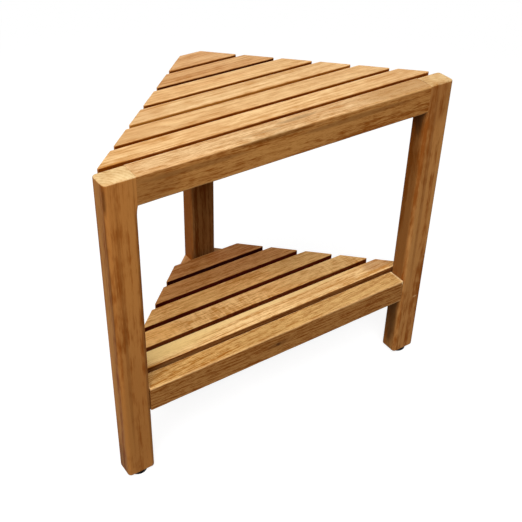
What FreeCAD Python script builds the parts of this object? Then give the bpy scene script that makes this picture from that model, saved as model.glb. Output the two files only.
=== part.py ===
import FreeCAD, Part
import math
import os

from FreeCAD import Vector

# Corner stool of solid wood with a slatted seat and a slatted shelf, in millimetres.
# X runs along the front, Y from the front to the corner, Z up from the floor.
# The origin is on the floor under the middle of the stool's bounding box.

# Overall sizes
seat_width = 500.0
seat_height = 459.0
shelf_height = 147.0
foot_height = 6.0

# Legs and front rails
leg_width = 39.0
leg_depth = 29.0
leg_edge_radius = 5.0
rail_height = 38.0
rail_edge_radius = 2.5
shelf_rail_end_chamfer = 1.2

# Seat and shelf boards
seat_slat_count = 6
shelf_slat_count = 5
slat_width = 29.0
back_slat_width = 34.7
slat_thickness = 12.0
slat_top_radius = 2.0
slat_bottom_chamfer = 0.8
seat_gap = 6.4
back_edge = 32.5
side_relief = 2.7
shelf_overhang = 2.0
shelf_leg_clearance = 5.5

# Slanted side rails under the boards
side_rail_thickness = 19.0
side_rail_edge_chamfer = 1.0

# Tenons of the front rails
tenon_length = 24.0
tenon_thickness = 10.0
tenon_front_shoulder = 6.0
tenon_bottom_shoulder = 6.0
tenon_top_shoulder = 10.0

# Dowels between the side rails and the legs
dowel_radius = 3.2
dowel_rail_depth = 13.0
dowel_tenon_wall = 2.5
dowel_middle_wall = 15.0
dowel_height_shares = (0.27, 0.73)

# Screws that hold the boards from below
screw_shank_radius = 1.75
screw_head_radius = 3.5
screw_head_height = 2.4
screw_bite = 8.0
screw_edge_distance = 4.0
counterbore_depth = 6.0

# Levelling feet and their threaded inserts
insert_radius = 6.0
insert_length = 18.0
stud_radius = 4.0
stud_length = 22.0
stud_end_room = 3.0
pad_radius = 13.0
pad_base_height = 4.2
pad_collar_radius = 10.0
pad_socket_depth = 4.0

# Sides of the dowels, screws and inserts, which are hidden and drawn as bars with flat sides
fastener_sides = 8

# Clearances, the overrun that lets a cut pass a face, and how close two places count as one
joint_clearance = 0.1
head_clearance = 0.5
thread_clearance = 0.08
foot_gap = 0.3
overrun = 1.0
match_tolerance = 1e-6

# Depths measured from the front face, and the heights that follow
seat_depth = (leg_depth + seat_slat_count * seat_gap
              + (seat_slat_count - 1) * slat_width + back_slat_width)
front = -seat_depth / 2
leg_rear = front + leg_depth
back_leg_front = -front - leg_depth
leg_inner = seat_width / 2 - leg_width
slat_bottom = seat_height - slat_thickness
rail_bottom = seat_height - rail_height
side_rail_height = rail_height - slat_thickness
shelf_rail_bottom = shelf_height - rail_height
shelf_gap = ((back_leg_front - shelf_leg_clearance - leg_rear) / shelf_slat_count) - slat_width
pad_top = foot_height - foot_gap
front_dowel_depth = leg_depth - tenon_front_shoulder - tenon_thickness - dowel_tenon_wall
back_dowel_depth = (leg_width - dowel_middle_wall) / 2

# The side line of the seat leaves the outer face of a front leg a little before its rear face
side_run = seat_width / 2 - back_edge / 2
side_start = leg_rear - side_relief
side_rise = -front - side_start
side_length = math.hypot(side_run, side_rise)
side_sine = side_rise / side_length
side_cosine = side_run / side_length


def side_x(depth_y, inward):
    """Half-width at a depth, on the side line moved inward by a distance."""
    line_x = seat_width / 2 - (depth_y - side_start) * side_run / side_rise
    return line_x - inward / side_sine


def side_y(half_width, inward):
    """Depth at a half-width, on the side line moved inward by a distance."""
    line_y = side_start + (seat_width / 2 - half_width) * side_rise / side_run
    return line_y - inward / side_cosine


def box(low, high):
    """Box between two opposite corners."""
    size = high.sub(low)
    return Part.makeBox(size.x, size.y, size.z, low)


def prism(points, bottom, height):
    """Upright solid on a plan outline."""
    corners = [Vector(x, y, bottom) for x, y in points]
    return Part.Face(Part.makePolygon(corners + corners[:1])).extrude(Vector(0, 0, height))


def bar(radius, length, base, direction):
    """Straight bar with flat sides, its corners at a radius from its axis."""
    turn = FreeCAD.Rotation(Vector(0, 0, 1), direction)
    corners = []
    for index in range(fastener_sides):
        angle = 2 * math.pi * index / fastener_sides
        corner = Vector(radius * math.cos(angle), radius * math.sin(angle), 0)
        corners.append(base + turn.multVec(corner))
    return Part.Face(Part.makePolygon(corners + corners[:1])).extrude(direction * length)


def edges_where(shape, test):
    """Edges of a shape whose two ends both pass a test."""
    return [e for e in shape.Edges if all(test(v.Point) for v in e.Vertexes)]


def level_edges(shape, height):
    """Edges of a shape that lie at one height."""
    return edges_where(shape, lambda p: math.isclose(p.z, height, abs_tol=match_tolerance))


def along(shape, direction):
    """Straight edges of a shape that run along a direction."""
    found = []
    for edge in shape.Edges:
        if isinstance(edge.Curve, Part.Line):
            if edge.tangentAt(edge.FirstParameter).cross(direction).Length < match_tolerance:
                found.append(edge)
    return found


def mirrored(shape):
    """Copy of a left-hand piece for the right-hand side."""
    return shape.mirror(Vector(0, 0, 0), Vector(1, 0, 0))


def cut_all(shape, tools):
    """Shape with several tools cut away."""
    return shape.cut(Part.Compound(tools))


def tenon(rail_low, clearance, length):
    """Left tenon of a front rail, or its mortise when given a clearance."""
    low = Vector(
        -leg_inner - length,
        front + tenon_front_shoulder - clearance,
        rail_low + tenon_bottom_shoulder - clearance,
    )
    high = Vector(
        -leg_inner + clearance,
        front + tenon_front_shoulder + tenon_thickness + clearance,
        rail_low + rail_height - tenon_top_shoulder + clearance,
    )
    return box(low, high)


def front_rail(rail_low, end_chamfer):
    """Rail between the front legs, with a tenon at each end."""
    low = Vector(-leg_inner, front, rail_low)
    high = Vector(leg_inner, leg_rear, rail_low + rail_height)
    rail = box(low, high)
    rail = rail.makeFillet(rail_edge_radius, along(rail, Vector(1, 0, 0)))
    if end_chamfer > 0:
        ends = edges_where(rail, lambda p: math.isclose(p.x, -leg_inner, abs_tol=match_tolerance))
        ends += edges_where(rail, lambda p: math.isclose(p.x, leg_inner, abs_tol=match_tolerance))
        rail = rail.makeChamfer(end_chamfer, ends)
    left_tenon = tenon(rail_low, 0, tenon_length)
    return rail.fuse([left_tenon, mirrored(left_tenon)])


def side_rail(rail_low):
    """Left side rail, its ends cut to the front leg's rear face and the back leg's side."""
    half_leg = leg_width / 2
    thick = side_rail_thickness
    outline = [
        (-side_x(leg_rear, 0), leg_rear),
        (-half_leg, side_y(half_leg, 0)),
        (-half_leg, side_y(half_leg, thick)),
        (-side_x(leg_rear, thick), leg_rear),
    ]
    rail = prism(outline, rail_low, side_rail_height)
    rail = rail.makeChamfer(side_rail_edge_chamfer, along(rail, Vector(side_cosine, side_sine, 0)))
    tools = dowel_set(rail_low, joint_clearance)
    tools += [screw_hole(place, rail_low) for place in rail_screw_places(rail_low)]
    return cut_all(rail, tools)


def dowel(start, direction, length, clearance):
    """Dowel from its end in a leg to its end in a rail, or its hole when given a clearance."""
    return bar(dowel_radius + clearance, length + 2 * clearance, start - direction * clearance, direction)


def dowel_set(rail_low, clearance):
    """Dowels at both ends of a left side rail."""
    half_leg = leg_width / 2
    far_x = side_x(leg_rear + dowel_rail_depth, 0)
    near_x = side_x(leg_rear, side_rail_thickness)
    far_y = side_y(half_leg + dowel_rail_depth, 0)
    near_y = side_y(half_leg, side_rail_thickness)
    pins = []
    for share in dowel_height_shares:
        height = rail_low + share * side_rail_height
        start = Vector(-(far_x + near_x) / 2, leg_rear - front_dowel_depth, height)
        pins.append(dowel(start, Vector(0, 1, 0), front_dowel_depth + dowel_rail_depth, clearance))
        start = Vector(-half_leg + back_dowel_depth, (far_y + near_y) / 2, height)
        pins.append(dowel(start, Vector(-1, 0, 0), back_dowel_depth + dowel_rail_depth, clearance))
    return pins


def slat_spans(rail_low):
    """Front and rear depth of each board of the seat or the shelf."""
    spans = []
    if rail_low == rail_bottom:
        for index in range(seat_slat_count):
            start = leg_rear + seat_gap + index * (slat_width + seat_gap)
            last = index == seat_slat_count - 1
            spans.append((start, start + (back_slat_width if last else slat_width)))
    else:
        for index in range(shelf_slat_count):
            start = leg_rear + shelf_gap + index * (slat_width + shelf_gap)
            spans.append((start, start + slat_width))
    return spans


def rail_screw_places(rail_low):
    """Plan places of the screws in a left side rail, one under each board."""
    places = []
    for start, end in slat_spans(rail_low):
        depth_y = (start + end) / 2
        if end > back_leg_front:
            depth_y = start + screw_edge_distance
        places.append((-side_x(depth_y, side_rail_thickness / 2), depth_y))
    return places


def screw(place, rail_low):
    """Screw standing in its counterbore, with its end in the board above."""
    x, y = place
    up = Vector(0, 0, 1)
    seat = Vector(x, y, rail_low + counterbore_depth)
    head = bar(screw_head_radius, screw_head_height, seat - up * screw_head_height, up)
    shank = bar(screw_shank_radius, side_rail_height - counterbore_depth + screw_bite, seat, up)
    return head.fuse(shank)


def screw_hole(place, rail_low):
    """Counterbore and shank hole of one screw, through the rail and into the board."""
    x, y = place
    up = Vector(0, 0, 1)
    mouth = Vector(x, y, rail_low - overrun)
    bore = bar(screw_head_radius + head_clearance, counterbore_depth + overrun, mouth, up)
    depth = side_rail_height + screw_bite + joint_clearance + overrun
    return bore.fuse(bar(screw_shank_radius + joint_clearance, depth, mouth, up))


def slat(span, top, overhang, rail_low, place):
    """Board between two depths, its ends on the side lines and its arrises eased."""
    start, end = span
    outline = [
        (-side_x(start, -overhang), start),
        (side_x(start, -overhang), start),
        (side_x(end, -overhang), end),
        (-side_x(end, -overhang), end),
    ]
    low = top - slat_thickness
    board = prism(outline, low, slat_thickness)
    board = board.makeFillet(slat_top_radius, level_edges(board, top))
    board = board.makeChamfer(slat_bottom_chamfer, level_edges(board, low))
    hole = screw_hole(place, rail_low)
    return cut_all(board, [hole, mirrored(hole)])


def foot_bore(x, y):
    """Hole in a leg's underside for the insert and the free end of the stud."""
    up = Vector(0, 0, 1)
    mouth = Vector(x, y, foot_height - overrun)
    wide = bar(insert_radius + joint_clearance, insert_length + overrun, mouth, up)
    deep = stud_length + stud_end_room + overrun
    return wide.fuse(bar(stud_radius + head_clearance, deep, mouth, up))


def front_left_leg():
    """Front leg, its inner arrises left square where the seat rail meets it."""
    outer = -seat_width / 2
    upright = box(Vector(outer, front, foot_height), Vector(-leg_inner, leg_rear, rail_bottom))
    upright = upright.makeFillet(leg_edge_radius, along(upright, Vector(0, 0, 1)))
    head = box(Vector(outer, front, rail_bottom), Vector(-leg_inner, leg_rear, seat_height))
    outer_edges = [e for e in along(head, Vector(0, 0, 1)) if e.CenterOfMass.x < outer + overrun]
    head = head.makeFillet(leg_edge_radius, outer_edges)
    leg = upright.fuse(head).removeSplitter()
    top_edges = level_edges(leg, seat_height)
    outer_top = [e for e in top_edges if e.CenterOfMass.x < -leg_inner - overrun]
    leg = leg.makeFillet(rail_edge_radius, outer_top)
    tools = [foot_bore(outer + leg_width / 2, front + leg_depth / 2)]
    for rail_low in (rail_bottom, shelf_rail_bottom):
        tools.append(tenon(rail_low, joint_clearance, tenon_length + joint_clearance))
        tools += dowel_set(rail_low, joint_clearance)
    return cut_all(leg, tools)


def back_leg():
    """Back leg, which carries the ends of the side rails and the backmost seat board."""
    low = Vector(-leg_width / 2, back_leg_front, foot_height)
    leg = box(low, Vector(leg_width / 2, -front, slat_bottom))
    leg = leg.makeFillet(leg_edge_radius, along(leg, Vector(0, 0, 1)))
    tools = [foot_bore(0, -front - leg_depth / 2)]
    for rail_low in (rail_bottom, shelf_rail_bottom):
        pins = dowel_set(rail_low, joint_clearance)
        tools += pins + [mirrored(pin) for pin in pins]
    return cut_all(leg, tools)


def foot_insert(x, y):
    """Insert for the stud, flush with the leg's underside, with its thread left plain."""
    base = Vector(x, y, foot_height)
    nut = bar(insert_radius, insert_length, base, Vector(0, 0, 1))
    return nut.cut(Part.makeCylinder(stud_radius + thread_clearance, insert_length, base))


def foot_stud(x, y):
    """Stud seated in the pad and screwed into the insert, with its thread left plain."""
    bottom = pad_top - pad_socket_depth
    return Part.makeCylinder(stud_radius, pad_socket_depth + stud_length, Vector(x, y, bottom))


def foot_pad(x, y):
    """Turned pad: a wide base under a narrow collar, with a blind socket for the stud."""
    points = [
        Vector(0, 0, 0),
        Vector(pad_radius, 0, 0),
        Vector(pad_radius, 0, pad_base_height),
        Vector(pad_collar_radius, 0, pad_base_height),
        Vector(pad_collar_radius, 0, pad_top),
        Vector(0, 0, pad_top),
    ]
    section = Part.Face(Part.makePolygon(points + points[:1]))
    pad = section.revolve(Vector(0, 0, 0), Vector(0, 0, 1), 360)
    socket_low = Vector(0, 0, pad_top - pad_socket_depth)
    socket = Part.makeCylinder(stud_radius + joint_clearance, pad_socket_depth + overrun, socket_low)
    return pad.cut(socket).translate(Vector(x, y, 0))


def both_sides(pieces):
    """Left-hand pieces and their right-hand copies, as one group of separate solids."""
    return Part.Compound(pieces + [mirrored(piece) for piece in pieces])


def level_nodes(name, rail_low, overhang, end_chamfer):
    """All pieces of the seat or of the shelf, by node name."""
    left = side_rail(rail_low)
    places = rail_screw_places(rail_low)
    nodes = {
        f"{name}_front_rail": front_rail(rail_low, end_chamfer),
        f"{name}_left_rail": left,
        f"{name}_right_rail": mirrored(left),
        f"{name}_rail_dowels": both_sides(dowel_set(rail_low, 0)),
        f"{name}_slat_screws": both_sides([screw(place, rail_low) for place in places]),
    }
    top = rail_low + rail_height
    for number, span in enumerate(slat_spans(rail_low), start=1):
        nodes[f"{name}_slat_{number}"] = slat(span, top, overhang, rail_low, places[number - 1])
    return nodes


def foot_nodes():
    """Inserts, studs and pads of the three feet, by node name."""
    side = seat_width / 2 - leg_width / 2
    places = {
        "front_left_foot": (-side, front + leg_depth / 2),
        "front_right_foot": (side, front + leg_depth / 2),
        "back_foot": (0, -front - leg_depth / 2),
    }
    nodes = {"foot_inserts": Part.Compound([foot_insert(x, y) for x, y in places.values()])}
    for name, (x, y) in places.items():
        nodes[f"{name}_stud"] = foot_stud(x, y)
        nodes[f"{name}_pad"] = foot_pad(x, y)
    return nodes


def build():
    """Every node of the stool, by name."""
    left_leg = front_left_leg()
    nodes = {
        "front_left_leg": left_leg,
        "front_right_leg": mirrored(left_leg),
        "back_leg": back_leg(),
    }
    nodes.update(level_nodes("seat", rail_bottom, 0, 0))
    nodes.update(level_nodes("shelf", shelf_rail_bottom, shelf_overhang, shelf_rail_end_chamfer))
    nodes.update(foot_nodes())
    return nodes


os.makedirs("parts", exist_ok=True)
for node_name, shape in build().items():
    shape.exportStep(f"parts/{node_name}.step")
    print(node_name, len(shape.Solids), "solids", round(shape.Volume), "mm3", shape.isValid())
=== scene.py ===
"""Corner stool of oiled teak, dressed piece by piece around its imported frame.

Sizes are in millimetres unless a class says otherwise.
"""

import logging
import math
import random
from dataclasses import dataclass
from enum import Enum
from typing import Iterable, Optional, Sequence, Union

import bmesh
import bpy
from mathutils import Euler, Matrix, Vector


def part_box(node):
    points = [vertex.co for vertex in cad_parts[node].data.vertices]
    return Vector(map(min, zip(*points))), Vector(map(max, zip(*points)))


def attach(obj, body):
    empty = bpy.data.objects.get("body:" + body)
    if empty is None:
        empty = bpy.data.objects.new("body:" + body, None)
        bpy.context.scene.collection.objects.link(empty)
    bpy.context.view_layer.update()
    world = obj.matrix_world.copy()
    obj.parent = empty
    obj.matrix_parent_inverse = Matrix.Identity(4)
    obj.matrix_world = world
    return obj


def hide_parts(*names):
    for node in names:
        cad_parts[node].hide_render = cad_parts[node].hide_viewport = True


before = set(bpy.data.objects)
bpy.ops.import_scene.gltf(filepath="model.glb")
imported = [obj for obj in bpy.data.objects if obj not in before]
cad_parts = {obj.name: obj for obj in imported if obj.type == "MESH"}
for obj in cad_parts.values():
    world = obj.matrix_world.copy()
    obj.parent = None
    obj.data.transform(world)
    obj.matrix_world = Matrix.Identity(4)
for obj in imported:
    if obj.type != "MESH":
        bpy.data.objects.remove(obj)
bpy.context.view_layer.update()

MM = 0.001
FULL_TURN = 2 * math.pi
QUARTER_TURN = math.pi / 2
SHARP_ANGLE = math.radians(38)
FLAT_WEIGHT = 90
MERGE_DISTANCE = 1e-7
STOOL = "stool"

log = logging.getLogger("corner_stool")

Colour = tuple[float, float, float, float]
Point = tuple[float, float, float]
Span = tuple[float, float]
Profile = Sequence[tuple[float, float]]
Value = Union["Wire", float, int, Sequence[float]]
Settings = Optional[dict[str, object]]
Sockets = Optional[dict[Union[int, str], Value]]

WHITE: Colour = (1.0, 1.0, 1.0, 1.0)
NOISE_MIDDLE = 0.5


def tone(code: str) -> Colour:
    """Turns a colour written as six hex digits into linear red, green, blue and alpha.

    Args:
        code: the colour as a screen shows it, such as "e8b87f".

    Returns:
        The linear colour, opaque.
    """
    shown = [int(code[i:i + 2], 16) / 255 for i in (0, 2, 4)]
    linear = [c / 12.92 if c <= 0.04045 else ((c + 0.055) / 1.055) ** 2.4 for c in shown]
    return (linear[0], linear[1], linear[2], 1.0)


class Wire:
    """Output of a shader node that takes part in arithmetic like a number."""

    def __init__(self, bench: "Bench", socket: bpy.types.NodeSocket) -> None:
        """Keeps the socket and the bench that its nodes are added on."""
        self.bench = bench
        self.socket = socket

    def _math(self, operation: str, *terms: Value) -> "Wire":
        """Adds one Math node over the terms."""
        return self.bench.add("ShaderNodeMath", {"operation": operation}, dict(enumerate(terms)))

    def __add__(self, other: Value) -> "Wire":
        """Sum."""
        return self._math("ADD", self, other)

    def __radd__(self, other: Value) -> "Wire":
        """Sum, from the right."""
        return self._math("ADD", other, self)

    def __sub__(self, other: Value) -> "Wire":
        """Difference."""
        return self._math("SUBTRACT", self, other)

    def __rsub__(self, other: Value) -> "Wire":
        """Difference, from the right."""
        return self._math("SUBTRACT", other, self)

    def __mul__(self, other: Value) -> "Wire":
        """Product."""
        return self._math("MULTIPLY", self, other)

    def __rmul__(self, other: Value) -> "Wire":
        """Product, from the right."""
        return self._math("MULTIPLY", other, self)

    def __truediv__(self, other: Value) -> "Wire":
        """Quotient."""
        return self._math("DIVIDE", self, other)

    def __rtruediv__(self, other: Value) -> "Wire":
        """Quotient, from the right."""
        return self._math("DIVIDE", other, self)

    def __pow__(self, other: Value) -> "Wire":
        """Power."""
        return self._math("POWER", self, other)

    def __rpow__(self, other: Value) -> "Wire":
        """Power, from the right."""
        return self._math("POWER", other, self)

    def __abs__(self) -> "Wire":
        """Size without sign."""
        return self._math("ABSOLUTE", self)

    def fraction(self) -> "Wire":
        """Part after the decimal point."""
        return self._math("FRACT", self)

    def larger(self, other: Value) -> "Wire":
        """The larger of two values."""
        return self._math("MAXIMUM", self, other)

    def smaller(self, other: Value) -> "Wire":
        """The smaller of two values."""
        return self._math("MINIMUM", self, other)

    def ramp(self, low: float, high: float, start: float = 0.0, end: float = 1.0) -> "Wire":
        """Eases from start to end while this value goes from low to high, and holds both outside."""
        sockets = {0: self, 1: low, 2: high, 3: start, 4: end}
        return self.bench.add("ShaderNodeMapRange", {"interpolation_type": "SMOOTHSTEP"}, sockets)


class Blend(Enum):
    """Ways to lay one colour over another, by Blender's names for them."""

    MIX = "MIX"
    TINT = "MULTIPLY"


@dataclass(frozen=True)
class Noise:
    """Soft noise of a surface.

    The reach is the size of one of its patches along each axis, in millimetres. The layers are finer
    noises within it, of some strength. With a span, the noise is a mask that sets in at the span's
    first value and is full at its second.
    """

    reach: Point
    layers: float = 2.0
    strength: float = 0.5
    span: Optional[Span] = None


class Bench:
    """Node tree of one finish, with the one method that adds its nodes."""

    def __init__(self, tree: bpy.types.NodeTree) -> None:
        """Takes a node tree to work on and empties it."""
        self.tree = tree
        tree.nodes.clear()

    @classmethod
    def for_material(cls, name: str) -> tuple["Bench", bpy.types.Material]:
        """Starts a new material.

        Args:
            name: name of the material.

        Returns:
            The bench and the material.
        """
        material = bpy.data.materials.new(name)
        material.use_nodes = True
        return cls(material.node_tree), material

    def make(self, kind: str, settings: Settings = None, sockets: Sockets = None) -> bpy.types.Node:
        """Adds one node.

        Args:
            kind: Blender's type name of the node.
            settings: properties of the node, which are set first.
            sockets: values or links of its inputs, by index or name.

        Returns:
            The node.
        """
        node = self.tree.nodes.new(kind)
        for key, setting in (settings or {}).items():
            setattr(node, key, setting)
        for key, value in (sockets or {}).items():
            if isinstance(value, Wire):
                self.tree.links.new(value.socket, node.inputs[key])
            else:
                node.inputs[key].default_value = value
        return node

    def add(
        self, kind: str, settings: Settings = None, sockets: Sockets = None, output: Union[int, str] = 0
    ) -> Wire:
        """Adds one node, as make does, and gives one of its outputs by index or name."""
        return Wire(self, self.make(kind, settings, sockets).outputs[output])

    def blend(self, first: Value, second: Value, share: Value, mode: Blend = Blend.MIX) -> Wire:
        """Lays a share of a second colour over a first one."""
        settings = {"data_type": "RGBA", "blend_type": mode.value, "clamp_factor": True}
        return self.add("ShaderNodeMix", settings, {0: share, 6: first, 7: second}, 2)

    def vector(self, operation: str, *terms: Value, output: int = 0) -> Wire:
        """Adds one Vector Math node over the terms, with a vector as output 0 or a value as output 1."""
        settings = {"operation": operation}
        return self.add("ShaderNodeVectorMath", settings, dict(enumerate(terms)), output)

    def millimetres(self) -> Wire:
        """Place on the object, in millimetres."""
        place = self.add("ShaderNodeTexCoord", None, None, "Object")
        return self.add("ShaderNodeVectorMath", {"operation": "SCALE"}, {0: place, "Scale": 1 / MM})

    def parts(self, vector: Wire) -> tuple[Wire, Wire, Wire]:
        """Splits a vector into its three values."""
        outputs = self.make("ShaderNodeSeparateXYZ", None, {0: vector}).outputs
        return tuple(Wire(self, socket) for socket in outputs)

    def noise(self, place: Wire, shape: Noise) -> Wire:
        """Adds soft noise that is stretched along the axes.

        Args:
            place: coordinates in millimetres.
            shape: reach and layers of the noise.

        Returns:
            The noise or the mask, about 0 to 1.
        """
        sockets = {
            "Vector": self.vector("DIVIDE", place, shape.reach),
            "Scale": 1.0,
            "Detail": shape.layers,
            "Roughness": shape.strength,
        }
        plain = self.add("ShaderNodeTexNoise", {"noise_dimensions": "3D"}, sockets)
        return plain if shape.span is None else plain.ramp(*shape.span)

    def coat(self, colour: Wire, rough: Wire, height: Wire, relief: Span, even: Sockets = None) -> None:
        """Lays one shader with a fine relief over the surface.

        Args:
            colour: base colour.
            rough: roughness.
            height: height of the relief, about 0 to 1.
            relief: strength of the relief, and its depth in millimetres.
            even: the shader's values that are the same all over.
        """
        strength, depth = relief
        sockets = {"Strength": strength, "Distance": depth * MM, "Height": height}
        bump = self.add("ShaderNodeBump", None, sockets)
        sockets = {"Base Color": colour, "Roughness": rough, "Normal": bump, **(even or {})}
        self.surface(self.add("ShaderNodeBsdfPrincipled", None, sockets))

    def surface(self, shader: Wire) -> None:
        """Links a shader to the tree's output."""
        self.make("ShaderNodeOutputMaterial", None, {"Surface": shader})


class Run(Enum):
    """Direction in which a board's grain runs, as a turn of the board's axes."""

    ACROSS = (0.0, 0.0, 0.0)
    UPRIGHT = (0.0, -QUARTER_TURN, 0.0)


class Figure(Enum):
    """Noises that make up the look of the wood, stretched along the grain."""

    SLOW = Noise((240.0, 46.0, 46.0))
    WARM = Noise((190.0, 24.0, 24.0), 1.0, span=(0.4, 0.75))
    BLOTCH = Noise((22.0, 9.0, 9.0))
    BROAD = Noise((210.0, 9.0, 9.0), strength=0.55)
    LINES = Noise((90.0, 1.5, 1.5), strength=0.55, span=(0.57, 0.72))
    THREAD = Noise((30.0, 1.6, 1.6), 3.0, 0.62)
    HAIR = Noise((10.0, 0.8, 0.8), strength=0.6)
    PORES = Noise((8.0, 0.6, 0.6), 1.0, span=(0.56, 0.7))
    SPECK = Noise((3.0, 3.0, 3.0))
    RIPPLE = Noise((4.2, 20.0, 20.0), 1.0)
    RIPPLED_PLACES = Noise((70.0, 60.0, 60.0), 1.0, span=(0.36, 0.56))


@dataclass(frozen=True)
class Grain:
    """Place of a board in its log's directions, in millimetres.

    The first local axis runs along the grain, the other two across it. The length is half of the
    board's where its ends are eased too, and otherwise out of reach.
    """

    middle: Point
    turn: Point
    half: Span
    ease: float
    length: float = 10000.0


@dataclass(frozen=True)
class Patch:
    """Mark in a board: a streak, stain, knot, band of sapwood, change of tone, patch of painted shade or
    painted highlight.

    The centre and the reach are in millimetres on the board's own axes: along the grain and the
    two across it. The core is the share of the reach that has the full strength.
    """

    centre: Point
    reach: Point
    colour: str
    strength: float
    ragged: float = 0.35
    core: float = 0.45


@dataclass(frozen=True)
class Teak:
    """Oiled teak of one board: its colours, its rings and its marks.

    Upper faces take the top colour and the other faces the darker side colour, as painted light and
    shade from above. The gap tone is painted shade between the boards, and the worn tone is partly
    rubbed oil and partly a painted highlight on the arrises. Lengths are in millimetres, and the rest
    are shares.
    """

    seed: int
    top: str
    side: str
    pith: Span = (70.0, 110.0)
    spacing: float = 4.2
    rings: float = 0.2
    flat_rings: float = 1.0
    fibre: float = 0.3
    streak: float = 0.3
    lines: float = 0.2
    drift: float = 0.5
    ripple: float = 0.0
    taper: float = 0.012
    contrast: float = 1.5
    side_contrast: float = 1.75
    pores: float = 0.4
    wear: float = 0.08
    worn: str = "ecbe82"
    gap: float = 0.0
    gap_from: float = 0.6
    gap_tone: str = "5a2906"
    gap_behind: bool = True
    patches: tuple[Patch, ...] = ()

    def make(self, name: str, grain: Grain) -> bpy.types.Material:
        """Builds the material of one board from its name and its place in the log."""
        return Timber(self, name, grain).paint()


class Timber:
    """Shader nodes of one board: its place in the log, the wood's noises and what they colour."""

    # Reach of the places in the log, and the slopes of upper faces and of faces across the fibres.
    LOG_REACH = 900.0
    UPWARD: Span = (0.25, 0.7)
    ACROSS_FIBRES: Span = (0.6, 0.86)

    # Tints, and how much each figure of the wood darkens or warms it.
    PALE_TINT: Colour = (1.22, 1.36, 1.64, 1.0)
    DARK_TINT: Colour = (0.66, 0.46, 0.22, 1.0)
    CUT_TINT: Colour = (0.84, 0.80, 0.76, 1.0)
    WARM_TINT: Colour = (1.02, 0.86, 0.72, 1.0)
    PORE_TINT: Colour = (0.64, 0.51, 0.36, 1.0)
    SHADE_SPAN: Span = (-0.1, 1.1)
    MIDDLE_SHADE = 0.46
    MIDDLE_RING = 0.3
    THREAD_SHARE = 1.8
    STREAK_SHARE = 2.0
    HAIR_SHARE = 2.0
    LINE_SHARE = 0.6
    SPECK_SHARE = 0.25
    BLOTCH_SHARE = 0.8
    WARM_SHARE = 0.5

    # Sway and fray of the growth rings, and how a year's ring darkens and ends.
    SWAY = 34.0
    SWAY_THROUGH = 0.6
    FRAY = 1.1
    LATE_WOOD = 2.2
    RING_END: Span = (0.93, 1.0)
    EARLY_WOOD = 0.15

    # Ragged rims of patches, arrises that are partly rubbed and partly given a painted highlight, and
    # painted shade in the gaps.
    RIM_BROAD = 2.2
    RIM_THREAD = 1.6
    WEAR_SWING = 2.0
    WEAR_FROM = 0.3
    WEAR_TO = 1.1
    WEAR_FADE = 0.4
    GAP_FADE = 1.0
    GAP_SIDE: Span = (0.3, 0.7)
    GAP_ENDS: Span = (0.25, 0.5)

    # Roughness and fine relief of the surface.
    ROUGH = 0.5
    ROUGH_THREAD = 0.22
    ROUGH_PORES = 0.14
    ROUGH_WORN = 0.06
    RELIEF: Span = (0.3, 0.12)
    RELIEF_HAIR = 0.5
    RELIEF_THREAD = 0.6
    RELIEF_PORES = 0.8
    RELIEF_RINGS = 0.35
    SPECULAR = 0.02

    def __init__(self, finish: Teak, name: str, grain: Grain) -> None:
        """Starts the material and finds where each point lies and faces.

        Args:
            finish: the board's teak.
            name: name of the material.
            grain: the board's place and direction.
        """
        self.finish, self.grain = finish, grain
        self.bench, self.material = Bench.for_material(name)
        self.figures: dict[Figure, Wire] = {}
        self.local = self._board_place()
        self.along, self.across, self.through = self.bench.parts(self.local)
        draw = random.Random(finish.seed)
        shift = tuple(draw.uniform(-self.LOG_REACH, self.LOG_REACH) for _ in range(3))
        self.place = self.bench.vector("ADD", self.local, shift)
        normal = self.bench.add("ShaderNodeTexCoord", None, None, "Normal")
        self.facing = self.bench.parts(normal)
        self.upward = self.facing[2].ramp(*self.UPWARD)
        axis = tuple(Euler(grain.turn).to_matrix().col[0])
        self.cut = abs(self.bench.vector("DOT_PRODUCT", normal, axis, output=1)).ramp(*self.ACROSS_FIBRES)

    def _board_place(self) -> Wire:
        """Finds the place on the board's own axes.

        Returns:
            The place in millimetres from the board's middle.
        """
        sockets = {
            "Vector": self.bench.add("ShaderNodeTexCoord", None, None, "Object"),
            "Location": [c * MM for c in self.grain.middle],
            "Rotation": self.grain.turn,
            "Scale": (MM, MM, MM),
        }
        return self.bench.add("ShaderNodeMapping", {"vector_type": "TEXTURE"}, sockets)

    def figure(self, kind: Figure) -> Wire:
        """Gives one of the wood's noises, which is made when it is first asked for.

        Args:
            kind: the noise.

        Returns:
            The noise, about 0 to 1.
        """
        if kind not in self.figures:
            self.figures[kind] = self.bench.noise(self.place, kind.value)
        return self.figures[kind]

    def swing(self, kind: Figure) -> Wire:
        """Gives one of the wood's noises, about zero."""
        return self.figure(kind) - NOISE_MIDDLE

    def paint(self) -> bpy.types.Material:
        """Lays colour, roughness and relief on the board.

        Returns:
            The material.
        """
        teak, bench = self.finish, self.bench
        ring, worn, pores = self._rings(), self._worn(), self.figure(Figure.PORES)
        colour = self._colour(ring)
        for patch in teak.patches:
            colour = self._marked(colour, patch)
        # Paler arrises: partly rubbed oil, partly a painted highlight where the rounded edges catch the
        # light.
        colour = bench.blend(colour, tone(teak.worn), worn * teak.wear)
        colour = bench.blend(colour, self.PORE_TINT, pores * teak.pores, Blend.TINT)
        rough = (
            self.ROUGH
            + self.swing(Figure.THREAD) * self.ROUGH_THREAD
            + pores * self.ROUGH_PORES
            - worn * self.ROUGH_WORN
        )
        height = (
            self.figure(Figure.HAIR) * self.RELIEF_HAIR
            + self.figure(Figure.THREAD) * self.RELIEF_THREAD
            - pores * self.RELIEF_PORES
            - ring * self.RELIEF_RINGS
        )
        bench.coat(colour, rough, height, self.RELIEF, {"Specular IOR Level": self.SPECULAR})
        return self.material

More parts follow.
